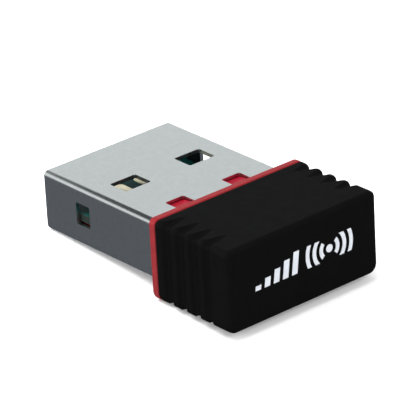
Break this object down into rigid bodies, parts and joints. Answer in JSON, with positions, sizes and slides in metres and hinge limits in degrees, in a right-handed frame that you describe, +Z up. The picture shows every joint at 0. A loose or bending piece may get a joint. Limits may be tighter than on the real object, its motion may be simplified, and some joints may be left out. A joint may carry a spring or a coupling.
{
  "type": "usb wifi adapter",
  "caption": "Nano USB Wi-Fi adapter: steel type A plug shell, thin red collar and a small black end cap with finger ribs down both sides; radio board inside.",
  "frame": {"origin": "middle of the adapter's footprint, at its underside (the case's flat bottom)", "axes": "+Y out of the plug's mouth, along the adapter's length; +X across its width; +Z up, the side of the plug that is hollow and shows the contacts"},
  "size_m": [0.014, 0.021, 0.0063],
  "materials": {
    "plated_steel": "satin nickel-plated rolled steel",
    "red_collar": "satin moulded ABS, red",
    "red_carrier": "glossy moulded PBT, red",
    "black_cap": "fine textured moulded ABS, black",
    "board": "glass fibre laminate with green solder mask",
    "gold": "gold plating over copper",
    "copper_track": "copper under solder mask",
    "solder": "reflowed tin solder",
    "chip_epoxy": "moulded epoxy, black",
    "ceramic": "sintered ceramic, tan",
    "ferrite": "sintered ferrite, dark grey",
    "resistor_glaze": "glass glaze, black",
    "filter_ceramic": "sintered ceramic, white",
    "tin_terminal": "tin plated terminal",
    "crystal_metal": "plated metal lid",
    "white_ink": "pad printed ink, white"
  },
  "bodies": {
    "root": {"plug_shell": "plated_steel", "collar": "red_collar", "end_cap": "black_cap", "circuit_board": "board", "board_tray": "red_carrier", "latch_block": "red_carrier", "wifi_chip": "chip_epoxy", "wifi_chip_lands": "solder", "antenna_track": "copper_track", "test_pads": "gold", "ground_solder": "solder", "printed_mark": "white_ink", "contact_ground": "gold", "contact_d_plus": "gold", "contact_d_minus": "gold", "contact_vbus": "gold", "crystal_base": "filter_ceramic", "crystal_lid": "crystal_metal", "regulator_body": "chip_epoxy", "regulator_leads": "tin_terminal", "capacitor_bodies": "ceramic", "capacitor_terminals": "tin_terminal", "resistor_bodies": "resistor_glaze", "resistor_terminals": "tin_terminal", "inductor_body": "ferrite", "inductor_terminals": "tin_terminal", "bulk_capacitor_body": "ceramic", "bulk_capacitor_terminals": "tin_terminal", "rf_filter_body": "filter_ceramic", "rf_filter_terminals": "tin_terminal", "ferrite_bead_body": "ferrite", "ferrite_bead_terminals": "tin_terminal"}
  },
  "joints": []
}
